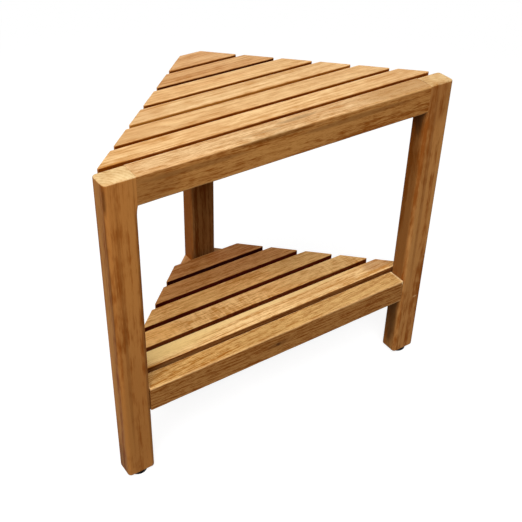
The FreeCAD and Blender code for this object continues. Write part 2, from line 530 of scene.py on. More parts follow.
    def _colour(self, ring: Wire) -> Wire:
        """Mixes the colour of the wood without its patches.

        Args:
            ring: darkness of the rings.

        Returns:
            The colour.
        """
        teak, bench = self.finish, self.bench
        depth = teak.contrast * self.upward.ramp(0.0, 1.0, teak.side_contrast, 1.0)
        spread = NOISE_MIDDLE + (self._shade(ring) - NOISE_MIDDLE) * depth
        tint = bench.blend(self.PALE_TINT, self.DARK_TINT, spread.ramp(*self.SHADE_SPAN))
        # Painted light and shade: upward faces take the paler top colour, the rest the darker side colour.
        body = bench.blend(tone(teak.side), tone(teak.top), self.upward)
        body = bench.blend(body, self.CUT_TINT, self.cut * (1 - self.upward), Blend.TINT)
        # Painted shade on the long sides of the boards, between them.
        if teak.gap > 0:
            body = bench.blend(body, tone(teak.gap_tone), self._sunk())
        colour = bench.blend(body, tint, 1.0, Blend.TINT)
        warm = self.figure(Figure.WARM) * (self.WARM_SHARE * teak.drift)
        return bench.blend(colour, self.WARM_TINT, warm, Blend.TINT)

    def _shade(self, ring: Wire) -> Wire:
        """Adds up rings, streaks, fibres and blotches.

        Args:
            ring: darkness of the rings.

        Returns:
            Darkness of the wood, about 0 to 1.
        """
        teak = self.finish
        streaks = (
            self.swing(Figure.THREAD) * (self.THREAD_SHARE * teak.fibre)
            + self.swing(Figure.BROAD) * (self.STREAK_SHARE * teak.streak)
            + self.swing(Figure.HAIR) * (self.HAIR_SHARE * teak.fibre)
            + self.figure(Figure.LINES) * (self.LINE_SHARE * teak.lines)
        )
        shade = (
            self.MIDDLE_SHADE
            + (ring - self.MIDDLE_RING) * (teak.rings * self.cut.ramp(0.0, 1.0, teak.flat_rings, 1.0))
            + streaks * (1 - self.cut)
            + self.swing(Figure.SPECK) * self.cut * self.SPECK_SHARE
            + self.swing(Figure.SLOW) * teak.drift
            + self.swing(Figure.BLOTCH) * (self.BLOTCH_SHARE * teak.drift)
        )
        if teak.ripple > 0:
            places = self.figure(Figure.RIPPLED_PLACES)
            shade = shade + self.swing(Figure.RIPPLE) * places * teak.ripple
        return shade

    def _rings(self) -> Wire:
        """Draws the growth rings round the log's pith, which lies off the board.

        Returns:
            Darkness of the rings, 0 to 1.
        """
        teak = self.finish
        sway = self.swing(Figure.SLOW) * self.SWAY
        aside = self.across - teak.pith[0] + sway
        below = self.through - teak.pith[1] + sway * self.SWAY_THROUGH
        radius = (aside * aside + below * below) ** 0.5
        frayed = radius + self.along * teak.taper + self.swing(Figure.THREAD) * self.FRAY
        year = (frayed / teak.spacing).fraction()
        return (year ** self.LATE_WOOD) * year.ramp(*self.RING_END, 1.0, self.EARLY_WOOD)

    def _marked(self, colour: Wire, patch: Patch) -> Wire:
        """Lays one patch over the colour, with a rim that the streaks make ragged.

        Args:
            colour: the colour so far.
            patch: the patch.

        Returns:
            The colour with the patch.
        """
        offset = self.bench.vector("SUBTRACT", self.local, patch.centre)
        away = self.bench.vector("DIVIDE", offset, patch.reach)
        rim = (
            self.bench.vector("LENGTH", away, output=1)
            + self.swing(Figure.BROAD) * (self.RIM_BROAD * patch.ragged)
            + self.swing(Figure.THREAD) * (self.RIM_THREAD * patch.ragged)
        )
        mask = rim.ramp(patch.core, 1.0, patch.strength, 0.0)
        return self.bench.blend(colour, tone(patch.colour), mask)

    def _sunk(self) -> Wire:
        """Finds the long sides of a board below its top, where shade between the boards is painted.

        Returns:
            How much painted shade the place takes, 0 to 1.
        """
        teak = self.finish
        level = self.grain.half[1] - teak.gap_from
        endward, backward, _ = self.facing
        side = abs(backward) if teak.gap_behind else 0 - backward
        return (
            self.through.ramp(level - self.GAP_FADE, level, teak.gap, 0.0)
            * side.ramp(*self.GAP_SIDE)
            * abs(endward).ramp(*self.GAP_ENDS, 1.0, 0.0)
        )

    def _worn(self) -> Wire:
        """Finds the arrises, which are paler: partly where hands and cloths have rubbed the oil off,
        partly as a painted highlight where the rounded edges catch the light.

        Returns:
            How worn and lit the place is, 0 to 1.
        """
        grain = self.grain
        ends = grain.length - abs(self.along)
        sides = grain.half[0] - abs(self.across)
        faces = grain.half[1] - abs(self.through)
        reach = (sides + faces).smaller(faces + ends) + self.swing(Figure.BROAD) * self.WEAR_SWING
        full, none = self.WEAR_FROM * grain.ease, self.WEAR_TO * grain.ease + self.WEAR_FADE
        return reach.ramp(full, none, 1.0, 0.0)


class Finish:
    """Finish that lies alike on a whole piece."""

    def make(self, name: str) -> bpy.types.Material:
        """Builds the material.

        Args:
            name: name of the material.

        Returns:
            The material.
        """
        bench, material = Bench.for_material(name)
        self.paint(bench, bench.millimetres())
        return material

    def paint(self, bench: Bench, place: Wire) -> None:
        """Lays the finish on, which every finish does in its own way."""
        raise NotImplementedError


@dataclass(frozen=True)
class Peg(Finish):
    """Pale beech of the hidden dowels."""

    colour: str = "c9a274"
    fleck: str = "a57c4e"
    flecks: Noise = Noise((1.1, 1.1, 1.1))
    fleck_span: Span = (0.4, 0.7)
    rough: float = 0.65
    rough_swing: float = 0.2
    relief: Span = (0.2, 0.2)

    def paint(self, bench: Bench, place: Wire) -> None:
        """Lays flecked wood on.

        Args:
            bench: where the nodes go.
            place: coordinates in millimetres.
        """
        fleck = bench.noise(place, self.flecks)
        colour = bench.blend(tone(self.colour), tone(self.fleck), fleck.ramp(*self.fleck_span))
        rough = self.rough + (fleck - NOISE_MIDDLE) * self.rough_swing
        bench.coat(colour, rough, fleck, self.relief)


@dataclass(frozen=True)
class Metal(Finish):
    """Turned or rolled metal with fine scratches and a little tarnish."""

    colour: str
    tarnish: str
    rough: float
    scratches: Noise = Noise((2.5, 2.5, 0.12))
    clouds: Noise = Noise((3.0, 3.0, 3.0), 3.0)
    tarnish_span: Span = (0.48, 0.75)
    tarnish_share: float = 0.7
    dull_span: Span = (0.5, 0.8)
    dull_share: float = 0.15
    rough_swing: float = 0.25
    relief: Span = (0.15, 0.1)

    def paint(self, bench: Bench, place: Wire) -> None:
        """Lays scratched metal on, dull where it is tarnished.

        Args:
            bench: where the nodes go.
            place: coordinates in millimetres.
        """
        scratch, cloud = bench.noise(place, self.scratches), bench.noise(place, self.clouds)
        share = cloud.ramp(*self.tarnish_span, 0.0, self.tarnish_share)
        colour = bench.blend(tone(self.colour), tone(self.tarnish), share)
        dull = cloud.ramp(*self.dull_span, 0.0, self.dull_share)
        rough = self.rough + (scratch - NOISE_MIDDLE) * self.rough_swing + dull
        bench.coat(colour, rough, scratch, self.relief, {"Metallic": 1.0})


@dataclass(frozen=True)
class Rubber(Finish):
    """Matt black rubber with a moulded grain and scuffs of dust."""

    colour: str = "090808"
    dust: str = "26231f"
    pebbles: Noise = Noise((0.5, 0.5, 0.5))
    scuffs: Noise = Noise((5.0, 5.0, 1.6), 4.0, 0.65)
    dust_span: Span = (0.52, 0.8)
    dust_share: float = 0.6
    rough: float = 0.72
    rough_swing: float = 0.2
    relief: Span = (0.25, 0.2)
    specular: float = 0.1

    def paint(self, bench: Bench, place: Wire) -> None:
        """Lays dusty rubber on.

        Args:
            bench: where the nodes go.
            place: coordinates in millimetres.
        """
        pebble, scuff = bench.noise(place, self.pebbles), bench.noise(place, self.scuffs)
        share = scuff.ramp(*self.dust_span, 0.0, self.dust_share)
        colour = bench.blend(tone(self.colour), tone(self.dust), share)
        rough = self.rough + (pebble - NOISE_MIDDLE) * self.rough_swing
        bench.coat(colour, rough, pebble, self.relief, {"Specular IOR Level": self.specular})


@dataclass(frozen=True)
class Extent:
    """Lowest and highest corner of a CAD node, in millimetres."""

    low: Vector
    high: Vector

    @classmethod
    def of(cls, node: str) -> "Extent":
        """Reads a node's box from the frame."""
        low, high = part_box(node)
        return cls(low / MM, high / MM)

    @property
    def middle(self) -> Vector:
        """Middle of the box."""
        return (self.low + self.high) / 2

    @property
    def half(self) -> Vector:
        """Half of the box's size."""
        return (self.high - self.low) / 2

    @property
    def height(self) -> float:
        """Height of the box."""
        return self.high.z - self.low.z


class Wobble:
    """Slow seeded waviness, for arrises that a hand has eased."""

    LENGTHS = (23.0, 57.0, 141.0)

    def __init__(self, seed: int, amount: float) -> None:
        """Draws the phases of three waves.

        Args:
            seed: number that the phases come from.
            amount: largest change, as a share.
        """
        draw = random.Random(seed)
        self.amount = amount
        self.waves = [(length, draw.uniform(0.0, FULL_TURN)) for length in self.LENGTHS]

    def at(self, place: float) -> float:
        """Factor at a distance along the edge, about 1."""
        total = sum(math.sin(FULL_TURN * place / length + phase) for length, phase in self.waves)
        return 1.0 + self.amount * total / len(self.waves)


class Outline:
    """Closed convex outline with rounded corners, drawn counter-clockwise, in millimetres."""

    LONG_RUN = 60.0
    LEAST_ROUND = 0.05

    def __init__(self, corners: Iterable[Sequence[float]], steps: int, run: float = LONG_RUN) -> None:
        """Keeps the corners and how finely they are drawn.

        Args:
            corners: the sharp corners.
            steps: segments of each rounded corner.
            run: length of the segments of the straight sides.
        """
        self.corners = [Vector(corner) for corner in corners]
        self.steps = steps
        count = len(self.corners)
        sides = [(self.corners[(i + 1) % count] - self.corners[i]).length for i in range(count)]
        self.splits = [max(1, round(side / run)) for side in sides]

    @classmethod
    def rectangle(cls, low: Sequence[float], high: Sequence[float], steps: int) -> "Outline":
        """Makes the outline of a rectangle between two corners, which starts at the lowest one."""
        corners = (low, (high[0], low[1]), high, (low[0], high[1]))
        return cls(corners, steps)

    def even_ring(self, inset: float, radius: float) -> list[Vector]:
        """Draws the outline with all its sides and corners alike."""
        count = len(self.corners)
        return self.ring([inset] * count, [radius] * count)

    def ring(self, insets: Sequence[float], radii: Sequence[float]) -> list[Vector]:
        """Draws the outline with its sides moved inward.

        Args:
            insets: distance that each side moves inward.
            radii: radius of each corner.

        Returns:
            The points, always as many and in the same order.
        """
        count = len(self.corners)
        sides = []
        for i in range(count):
            start = self.corners[i]
            way = (self.corners[(i + 1) % count] - start).normalized()
            sides.append((start + Vector((-way.y, way.x)) * insets[i], way))
        moved = [self._meet(sides[i - 1], sides[i]) for i in range(count)]
        arcs = []
        for i in range(count):
            radius = max(radii[i], self.LEAST_ROUND)
            arcs.append(self._arc(moved[i - 1], moved[i], moved[(i + 1) % count], radius))
        points: list[Vector] = []
        for i in range(count):
            points.extend(arcs[i])
            start, end = arcs[i][-1], arcs[(i + 1) % count][0]
            for k in range(1, self.splits[i]):
                points.append(start.lerp(end, k / self.splits[i]))
        return points

    @staticmethod
    def _meet(first: tuple[Vector, Vector], second: tuple[Vector, Vector]) -> Vector:
        """Finds the point where two lines meet.

        Args:
            first: a point of one line and its direction.
            second: the same of the other.

        Returns:
            The point.
        """
        (p, u), (q, w) = first, second
        gap = q - p
        return p + u * ((gap.x * w.y - gap.y * w.x) / (u.x * w.y - u.y * w.x))

    def _arc(self, before: Vector, here: Vector, after: Vector, radius: float) -> list[Vector]:
        """Draws one rounded corner.

        Args:
            before: the corner before.
            here: the corner.
            after: the corner after.
            radius: its radius.

        Returns:
            The points from the side before to the side after.
        """
        back, forth = (before - here).normalized(), (after - here).normalized()
        half = back.angle(forth) / 2
        centre = here + (back + forth).normalized() * (radius / math.sin(half))
        start = here + back * (radius / math.tan(half)) - centre
        sweep = math.pi - 2 * half
        begin = math.atan2(start.y, start.x)
        turns = [begin + sweep * k / self.steps for k in range(self.steps + 1)]
        return [centre + Vector((math.cos(t), math.sin(t))) * radius for t in turns]


class Draft:
    """Points and faces of one piece, in millimetres, until it becomes an object."""

    AXIS_RADIUS = 0.02

    def __init__(self) -> None:
        """Starts with nothing."""
        self.points: list[Vector] = []
        self.faces: list[list[int]] = []

    @classmethod
    def skin(cls, rings: Sequence[Sequence[Vector]]) -> "Draft":
        """Starts with one closed skin.

        Args:
            rings: rings of equally many points.

        Returns:
            The draft.
        """
        draft = cls()
        draft.loft(rings)
        return draft

    def loft(self, rings: Sequence[Sequence[Vector]], closed: bool = True) -> None:
        """Joins rings of equally many points into a skin.

        Args:
            rings: the rings in order.
            closed: whether faces close the first and the last ring.
        """
        base, count = len(self.points), len(rings[0])
        for ring in rings:
            self.points.extend(Vector(p) for p in ring)
        for i in range(len(rings) - 1):
            low, high = base + i * count, base + (i + 1) * count
            for k in range(count):
                n = (k + 1) % count
                self.faces.append([low + k, low + n, high + n, high + k])
        if closed:
            top = base + (len(rings) - 1) * count
            self.faces.append([base + k for k in reversed(range(count))])
            self.faces.append([top + k for k in range(count)])

    def lathe(self, profile: Profile, centre: Vector, sides: int = 48, tube: bool = False) -> None:
        """Turns a profile of radius and height round an upright axis.

        Args:
            profile: points from the bottom of the axis round to its top, or round a tube's wall.
            centre: foot of the axis.
            sides: number of segments.
            tube: whether the profile closes on itself.
        """
        turns = [FULL_TURN * k / sides for k in range(sides)]
        rings = []
        for radius, height in profile:
            spot = centre + Vector((0.0, 0.0, height))
            wide = max(radius, self.AXIS_RADIUS)
            rings.append([spot + Vector((math.cos(t), math.sin(t), 0.0)) * wide for t in turns])
        if tube:
            rings.append(rings[0])
        self.loft(rings, closed=not tube)

    def mirrored(self) -> "Draft":
        """Copies the draft for the other side of the stool.

        Returns:
            The mirrored draft.
        """
        twin = Draft()
        twin.points = [Vector((-p.x, p.y, p.z)) for p in self.points]
        twin.faces = [list(reversed(face)) for face in self.faces]
        return twin

    def repeat(self, mesh: bpy.types.Mesh, place: Vector) -> None:
        """Adds a copy of a finished mesh.

        Args:
            mesh: the mesh.
            place: where its origin goes.
        """
        base = len(self.points)
        self.points.extend(v.co / MM + place for v in mesh.vertices)
        self.faces.extend([base + i for i in face.vertices] for face in mesh.polygons)

    def _to_mesh(self, name: str) -> bpy.types.Mesh:
        """Makes the bare mesh.

        Args:
            name: name of the mesh.

        Returns:
            The mesh, in metres.
        """
        mesh = bpy.data.meshes.new(name)
        mesh.from_pydata([p * MM for p in self.points], [], self.faces)
        return mesh

    def to_object(self, name: str, cutter: Optional["Draft"] = None) -> bpy.types.Object:
        """Makes the object, with smooth faces between sharp edges.

        Args:
            name: name of the piece.
            cutter: holes that are cut out of it.

        Returns:
            The object, in the scene.
        """
        mesh = self._to_mesh(name)
        work = bmesh.new()
        work.from_mesh(mesh)
        bmesh.ops.remove_doubles(work, verts=work.verts, dist=MERGE_DISTANCE)
        bmesh.ops.recalc_face_normals(work, faces=work.faces)
        work.to_mesh(mesh)
        work.free()
        piece = bpy.data.objects.new(name, mesh)
        bpy.context.scene.collection.objects.link(piece)
        if cutter is not None:
            cutter._cut_from(piece)
        piece.data.shade_smooth()
        piece.data.set_sharp_from_angle(angle=SHARP_ANGLE)
        flat = piece.modifiers.new("flat faces", "WEIGHTED_NORMAL")
        flat.keep_sharp = True
        flat.weight = FLAT_WEIGHT
        return piece

    def _cut_from(self, piece: bpy.types.Object) -> None:
        """Cuts this draft out of a piece.

        Args:
            piece: the piece.
        """
        tool = bpy.data.objects.new("holes", self._to_mesh("holes"))
        bpy.context.scene.collection.objects.link(tool)
        cut = piece.modifiers.new("holes", "BOOLEAN")
        cut.operation, cut.solver, cut.object = "DIFFERENCE", "EXACT", tool
        solid = piece.evaluated_get(bpy.context.evaluated_depsgraph_get())
        done = bpy.data.meshes.new_from_object(solid)
        piece.modifiers.clear()
        piece.data = done
        bpy.data.objects.remove(tool)


class Level(Enum):
    """Levels of the stool that carry boards, as their nodes name them."""

    SEAT = "seat"
    SHELF = "shelf"

    def node(self, rest: str) -> str:
        """Name of one of the level's nodes or pieces."""
        return f"{self.value}_{rest}"


class Slot(Enum):
    """Material slots, as the record names them."""

    LEG = "leg_wood"
    RAIL = "rail_wood"
    BOARD = "slat_wood"
    SCREW = "screw_steel"
    PAD = "pad_rubber"
    STUD = "stud_steel"
    INSERT = "insert_brass"


def quarter(radius: float, steps: int) -> Profile:
    """Steps of a quarter round from a side to a face, each an inset and a drop below the face."""
    turns = [QUARTER_TURN * k / steps for k in range(steps + 1)]
    return [(radius * (1 - math.cos(t)), radius * (1 - math.sin(t))) for t in turns]


def hole(radius: float, depth: float, overrun: float) -> Profile:
    """Profile of a round hole from below, which starts below the face that it is cut into."""
    return [(0.0, -overrun), (radius, -overrun), (radius, depth), (0.0, depth)]


def raised(ring: Iterable[Vector], z: float) -> list[Vector]:
    """Plan points, put at a height."""
    return [Vector((p.x, p.y, z)) for p in ring]


def place_piece(
    piece: bpy.types.Object, material: bpy.types.Material, slot: Slot, body: str, *nodes: str
) -> None:
    """Dresses a piece, sets it on its body and hides the nodes that it stands for.

    Args:
        piece: the piece.
        material: its finish.
        slot: not used.
        body: the body that carries it.
        nodes: CAD nodes that it replaces.
    """
    piece.data.materials.clear()
    piece.data.materials.append(material)
    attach(piece, body)
    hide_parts(*nodes)
    log.info("%s: %d points on %s", piece.name, len(piece.data.vertices), body)


@dataclass(frozen=True)
class SideLine:
    """Plan line of the stool's left side, on which the boards and side rails end."""

    start: Vector
    way: Vector

    @classmethod
    def from_boards(cls, near: str, far: str) -> "SideLine":
        """Finds the line through the front left corners of a near board and a far one."""
        start, end = Extent.of(near).low.xy, Extent.of(far).low.xy
        return cls(start, (end - start).normalized())

    def _moved(self, inward: float) -> Vector:
        """Start of the line when the line is moved inward."""
        return self.start + Vector((self.way.y, -self.way.x)) * inward

    def at_depth(self, y: float, inward: float) -> Vector:
        """Point of the line at a depth, with the line moved inward."""
        start = self._moved(inward)
        return start + self.way * ((y - start.y) / self.way.y)

    def at_width(self, x: float, inward: float) -> Vector:
        """Point of the line at a width, with the line moved inward."""
        start = self._moved(inward)
        return start + self.way * ((x - start.x) / self.way.x)

    @property
    def turn(self) -> float:
        """Angle of the line from the front, in radians."""
        return math.atan2(self.way.y, self.way.x)


@dataclass
class Legs:
    """The two front legs and the back leg, with round holes for the foot inserts."""

    finishes: dict[str, Teak]
    edge: float = 5.0
    edge_steps: int = 7
    top_edge: float = 2.5
    top_steps: int = 6
    foot_edge: float = 2.5
    foot_steps: int = 3
    square_edge: float = 0.35
    least_edge: float = 0.1
    seam_share: float = 0.1
    run_out: float = 16.0
    run_out_power: float = 0.8
    run_out_steps: int = 8
    bore: float = 6.05
    bore_depth: float = 25.0
    overrun: float = 5.0

    def build(self) -> None:
        """Builds and dresses all three legs."""
        draft = self._front_leg(Extent.of("front_left_leg"))
        self._finish(draft, "front_left_leg", "leg_front_left")
        self._finish(draft.mirrored(), "front_right_leg", "leg_front_right")
        self._finish(self._back_leg(Extent.of("back_leg")), "back_leg", "leg_back")

    def _start(self, size: Extent) -> tuple[Outline, list[list[Vector]]]:
        """Starts a leg with its eased lower end.

        Args:
            size: box of the leg.

        Returns:
            Its plan outline from the front left corner, and the rings from the underside up.
        """
        outline = Outline.rectangle(size.low.xy, size.high.xy, self.edge_steps)
        rings = []
        for inset, drop in reversed(quarter(self.foot_edge, self.foot_steps)):
            rings.append(raised(outline.even_ring(inset, self.edge - inset), size.low.z + drop))
        return outline, rings

    def _front_leg(self, size: Extent) -> Draft:
        """Front left leg: its inner arrises run out below the seat rail, which meets it flush.

        Args:
            size: box of the leg.

        Returns:
            The leg's skin.
        """
        outline, rings = self._start(size)
        rail_low = Extent.of("seat_front_rail").low.z
        for k in range(self.run_out_steps + 1):
            share = k / self.run_out_steps
            round_share = math.cos(share * QUARTER_TURN) ** self.run_out_power
            inner = self.square_edge + (self.edge - self.square_edge) * round_share
            ring = outline.ring([0.0] * 4, [self.edge, inner, inner, self.edge])
            rings.append(raised(ring, rail_low - self.run_out * (1 - share)))
        for inset, drop in quarter(self.top_edge, self.top_steps):
            seam = self.seam_share * inset
            tight = max(self.square_edge - seam, self.least_edge)
            outer = self.edge - inset
            ring = outline.ring([inset, seam, inset, inset], [outer, tight, tight, outer])
            rings.append(raised(ring, size.high.z - drop))
        return Draft.skin(rings)

    def _back_leg(self, size: Extent) -> Draft:
        """Back leg, square at the top, where the boards cover it.

        Args:
            size: box of the leg.

        Returns:
            The leg's skin.
        """
        outline, rings = self._start(size)
        rings.append(raised(outline.even_ring(0.0, self.edge), size.high.z))
        return Draft.skin(rings)

    def _finish(self, draft: Draft, node: str, name: str) -> None:
        """Drills the foot hole, and dresses and places one leg.

        Args:
            draft: the leg's skin.
            node: its CAD node.
            name: name of the piece.
        """
        size = Extent.of(node)
        cutter = Draft()
        foot = Vector((size.middle.x, size.middle.y, size.low.z))
        cutter.lathe(hole(self.bore, self.bore_depth, self.overrun), foot)
        half = (size.half.y, size.half.x)
        grain = Grain(tuple(size.middle), Run.UPRIGHT.value, half, self.edge, size.half.z)
        material = self.finishes[node].make(f"teak_{name}", grain)
        place_piece(draft.to_object(name, cutter), material, Slot.LEG, STOOL, node)


@dataclass
class FrontRail:
    """Rail between the front legs at the seat or at the shelf."""

    node: str
    name: str
    end_ease: Span
    finish: Teak
    seed: int
    edge: float = 2.5
    rear_edge: float = 1.2
    least_edge: float = 0.4
    edge_steps: int = 5
    end_steps: int = 4
    spans: int = 28
    hidden_end: float = 0.0
    unevenness: float = 0.16
    wave_shift: float = 400.0

    def build(self) -> None:
        """Builds and dresses the rail."""
        size = Extent.of(self.node)
        reach = -Extent.of("front_left_leg").high.x
        half = (size.half.y, size.half.z)
        grain = Grain(tuple(size.middle), Run.ACROSS.value, half, self.edge, reach + self.hidden_end)
        material = self.finish.make(f"teak_{self.name}", grain)
        piece = self._skin(size, reach).to_object(self.name)
        place_piece(piece, material, Slot.RAIL, STOOL, self.node)

    def _skin(self, size: Extent, reach: float) -> Draft:
        """Draws the rail with arrises that are a little uneven along its length.

        Args:
            size: box of the rail.
            reach: distance of its ends from the middle.

        Returns:
            The rail's skin.
        """
        outline = Outline.rectangle(size.low.yz, size.high.yz, self.edge_steps)
        wobble = Wobble(self.seed, self.unevenness)
        left, right = self.end_ease
        inner = reach - max(left, right)
        stations = [(inset, drop - reach) for inset, drop in reversed(quarter(left, self.end_steps))]
        stations += [(0.0, -inner + 2 * inner * k / self.spans) for k in range(1, self.spans)]
        stations += [(inset, reach - drop) for inset, drop in quarter(right, self.end_steps)]
        edges = (self.edge, self.rear_edge, self.rear_edge, self.edge)
        rings = []
        for inset, x in stations:
            radii = []
            for i, edge in enumerate(edges):
                eased = edge * wobble.at(x + self.wave_shift * i) - inset
                radii.append(max(eased, self.least_edge))
            rings.append([Vector((x, p.x, p.y)) for p in outline.ring([inset] * 4, radii)])
        return Draft.skin(rings)


@dataclass
class SideRails:
    """Pair of slanted rails under the boards, with counterbores for the screws."""

    level: Level
    line: SideLine
    boards: Sequence[str]
    finishes: tuple[Teak, Teak]
    thickness: float = 19.0
    edge: float = 1.4
    edge_steps: int = 4
    bore: float = 4.0
    bore_depth: float = 6.0
    bore_sides: int = 32
    overrun: float = 4.0
    back_inset: float = 4.0

    def screw_places(self) -> list[Vector]:
        """Places of the left rail's screws, at the rail's underside.

        Returns:
            One place under each board.
        """
        low = Extent.of(self.level.node("left_rail")).low.z
        back = Extent.of("back_leg").low.y
        places = []
        for board in self.boards:
            span = Extent.of(board)
            y = span.low.y + self.back_inset if span.high.y > back else span.middle.y
            spot = self.line.at_depth(y, self.thickness / 2)
            places.append(Vector((spot.x, spot.y, low)))
        return places

    def _ends(self, size: Extent) -> tuple[list[Vector], list[Vector]]:
        """Draws the left rail's section where it meets the front leg and the back leg.

        Args:
            size: box of the rail.

        Returns:
            The front end and the rear end.
        """
        corner, far_corner = (0.0, size.low.z), (self.thickness, size.high.z)
        section = Outline.rectangle(corner, far_corner, self.edge_steps).even_ring(0.0, self.edge)
        near, far = [], []
        for point in section:
            front = self.line.at_depth(size.low.y, point.x)
            rear = self.line.at_width(size.high.x, point.x)
            near.append(Vector((front.x, front.y, point.y)))
            far.append(Vector((rear.x, rear.y, point.y)))
        return near, far

    def build(self) -> None:
        """Builds and dresses the left and the right rail."""
        size = Extent.of(self.level.node("left_rail"))
        near, far = self._ends(size)
        draft, holes = Draft.skin([near, far]), Draft()
        for spot in self.screw_places():
            holes.lathe(hole(self.bore, self.bore_depth, self.overrun), spot, self.bore_sides)
        middle = (sum(near, Vector()) + sum(far, Vector())) / (2 * len(near))
        half = (self.thickness / 2, size.half.z)
        hands = (("left", 1, draft, holes), ("right", -1, draft.mirrored(), holes.mirrored()))
        for finish, (hand, sign, skin, bores) in zip(self.finishes, hands):
            name = f"rail_{self.level.node(hand)}"
            spot = (sign * middle.x, middle.y, middle.z)
            grain = Grain(spot, (0.0, 0.0, sign * self.line.turn), half, self.edge)
            material = finish.make(f"teak_{name}", grain)
            piece = skin.to_object(name, bores)
            place_piece(piece, material, Slot.RAIL, STOOL, self.level.node(f"{hand}_rail"))


@dataclass
class Deck:
    """Row of boards of the seat or of the shelf."""

    level: Level
    line: SideLine
    finishes: Sequence[Teak]
    tip: float = 1.1
    corner: float = 1.6
    least_corner: float = 0.3
    corner_steps: int = 5
    top_edge: float = 1.1
    top_steps: int = 5
    bottom_edge: float = 0.9
    bottom_steps: int = 3
    run: float = 16.0
    unevenness: float = 0.22
    wave_along: float = 0.7
    wave_across: float = 3.1

    @property
    def nodes(self) -> list[str]:
        """Names of the boards' nodes, from the front."""
        return [self.level.node(f"slat_{number}") for number in range(1, len(self.finishes) + 1)]

    def build(self) -> None:
        """Builds and dresses the boards."""
        for number, (node, finish) in enumerate(zip(self.nodes, self.finishes), start=1):
            size = Extent.of(node)
            name = f"board_{self.level.node(str(number))}"
            half = (size.half.y, size.half.z)
            grain = Grain(tuple(size.middle), Run.ACROSS.value, half, self.top_edge)
            material = finish.make(f"teak_{name}", grain)
            piece = self._board(size, finish.seed).to_object(name)
            place_piece(piece, material, Slot.BOARD, STOOL, node)

    def _board(self, size: Extent, seed: int) -> Draft:
        """Draws one board, whose ends follow the side lines and whose arrises are a little uneven.

        Args:
            size: box of the board.
            seed: number that the unevenness comes from.

        Returns:
            The board's skin.
        """
        low, high = size.low, size.high
        rear = -low.x - (high.y - low.y) * (self.line.way.x / self.line.way.y)
        corners = (low.xy, (high.x, low.y), (rear, high.y), (-rear, high.y))
        outline = Outline(corners, self.corner_steps, self.run)
        rounds = (self.tip, self.tip, self.corner, self.corner)
        plain = outline.ring([0.0] * 4, rounds)
        wobble = Wobble(seed, self.unevenness)
        lower = reversed(quarter(self.bottom_edge, self.bottom_steps))
        levels = [(inset, low.z, drop) for inset, drop in lower]
        levels += [(inset, high.z, -drop) for inset, drop in quarter(self.top_edge, self.top_steps)]
        rings = []
        for inset, face, rise in levels:
            drawn = outline.ring([inset] * 4, [max(r - inset, self.least_corner) for r in rounds])
            ring = []
            for start, end in zip(plain, drawn):
                factor = wobble.at(start.x * self.wave_along + start.y * self.wave_across)
                spot = start.lerp(end, factor)
                ring.append(Vector((spot.x, spot.y, face + rise * factor)))
            rings.append(ring)
        return Draft.skin(rings)


@dataclass
class Screws:
    """Pan head screws that hold the boards from below, in one piece for each level."""

    level: Level
    places: Sequence[Vector]
    finish: bpy.types.Material
    seat: float = 6.0
    head: float = 3.5
    head_height: float = 2.4
    dome: float = 1.5
    dome_steps: int = 8
    shank: float = 1.7
    length: float = 28.0
    point: float = 3.0
    sides: int = 28
    cross_length: float = 2.0
    cross_width: float = 0.45
    cross_depth: float = 1.3
    cross_taper: float = 0.15
    overrun: float = 1.0

    def build(self) -> None:
        """Builds one screw and repeats it under every board."""
        pattern = self._screw()
        draft = Draft()
        for spot in self.places:
            for sign in (1, -1):
                draft.repeat(pattern.data, Vector((sign * spot.x, spot.y, spot.z)))
        bpy.data.objects.remove(pattern)
        piece = draft.to_object(f"screws_{self.level.value}")
        place_piece(piece, self.finish, Slot.SCREW, STOOL, self.level.node("slat_screws"))

    def _screw(self) -> bpy.types.Object:
        """One screw at the origin with a cross recess, its head down.

        Returns:
            The screw, which is a pattern to copy.
        """
        crown, tip = self.seat - self.head_height, self.seat + self.length
        profile = []
        for k in range(self.dome_steps + 1):
            turn = QUARTER_TURN * k / self.dome_steps
            profile.append((self.head * math.sin(turn), crown + self.dome * (1 - math.cos(turn))))
        profile += [(self.head, self.seat), (self.shank, self.seat)]
        profile += [(self.shank, tip - self.point), (0.0, tip)]
        draft = Draft()
        draft.lathe(profile, Vector(), self.sides)
        mouth = self._cross(crown - self.overrun, 0.0)
        floor = self._cross(crown + self.cross_depth, self.cross_taper)
        return draft.to_object("screw_pattern", Draft.skin([mouth, floor]))

    def _cross(self, z: float, inset: float) -> list[Vector]:
        """Draws the cross recess at one height.

        Args:
            z: the height.
            inset: distance by which its sides move in.

        Returns:
            The points, counter-clockwise.
        """
        long, thin = self.cross_length - inset, self.cross_width - inset
        ring = []
        for turn in range(4):
            for x, y in ((long, -thin), (long, thin), (thin, thin)):
                for _ in range(turn):
                    x, y = -y, x
                ring.append(Vector((x, y, z)))
        return ring


